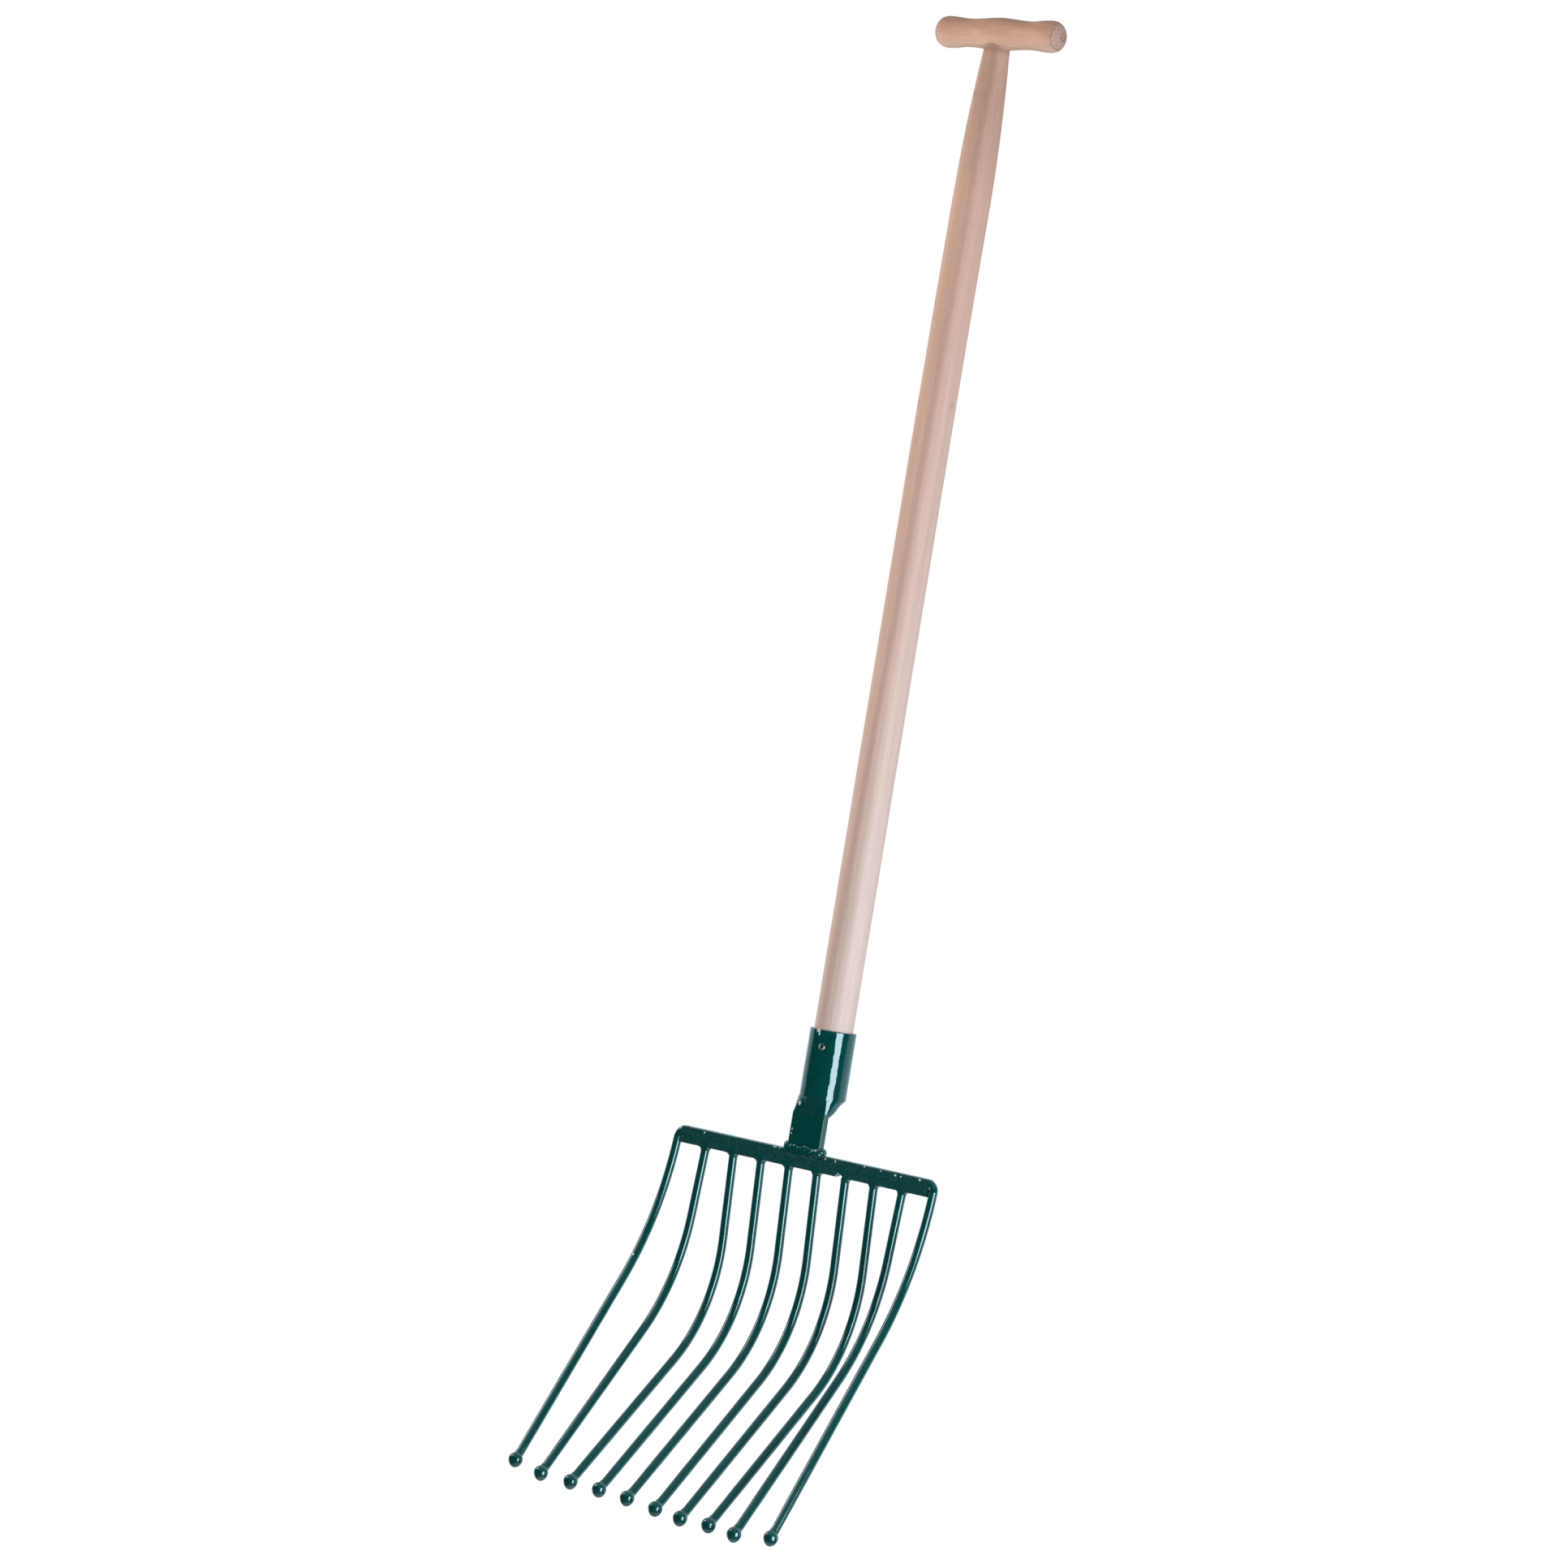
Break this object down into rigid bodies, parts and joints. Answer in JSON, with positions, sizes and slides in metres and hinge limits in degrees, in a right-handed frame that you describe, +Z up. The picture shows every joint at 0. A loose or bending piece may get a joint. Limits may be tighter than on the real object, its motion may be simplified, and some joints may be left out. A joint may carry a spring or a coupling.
{
  "type": "pitchfork",
  "caption": "Long-handled fork with a wooden T-grip and shaft, and a green enamelled steel head: a riveted socket, a welded rod bar and forward-curved tines with ball tips.",
  "frame": {"origin": "on the shaft's axis at the underside of the T-grip, where the fork hangs", "axes": "+Z up along the shaft towards the T-grip, +X along the bar across the tines, -Y towards the open side of the tines' curve"},
  "size_m": [0.3435, 0.2488, 1.5689],
  "materials": {
    "shaft_beech": "plain sanded beech, unvarnished, pinkish cream",
    "grip_beech": "sanded beech, pinkish tan, grain across the fork",
    "green_enamel": "glossy dark green enamel dipped over steel",
    "bright_steel": "plain bright steel"
  },
  "bodies": {
    "root": {"handle_shaft": "shaft_beech", "grip_bar": "grip_beech", "grip_nail": "bright_steel", "socket": "green_enamel", "socket_rivet": "bright_steel", "neck_weld": "green_enamel", "centre_spacer": "green_enamel", "tine_01": "green_enamel", "tine_02": "green_enamel", "tine_03": "green_enamel", "tine_04": "green_enamel", "tine_05": "green_enamel", "tine_06": "green_enamel", "tine_07": "green_enamel", "tine_08": "green_enamel", "tine_09": "green_enamel", "tine_10": "green_enamel", "corner_weld_02": "green_enamel", "corner_weld_03": "green_enamel", "corner_weld_04": "green_enamel", "corner_weld_05": "green_enamel", "corner_weld_06": "green_enamel", "corner_weld_07": "green_enamel", "corner_weld_08": "green_enamel", "corner_weld_09": "green_enamel", "tip_ball_01": "green_enamel", "tip_ball_02": "green_enamel", "tip_ball_03": "green_enamel", "tip_ball_04": "green_enamel", "tip_ball_05": "green_enamel", "tip_ball_06": "green_enamel", "tip_ball_07": "green_enamel", "tip_ball_08": "green_enamel", "tip_ball_09": "green_enamel", "tip_ball_10": "green_enamel"}
  },
  "joints": []
}
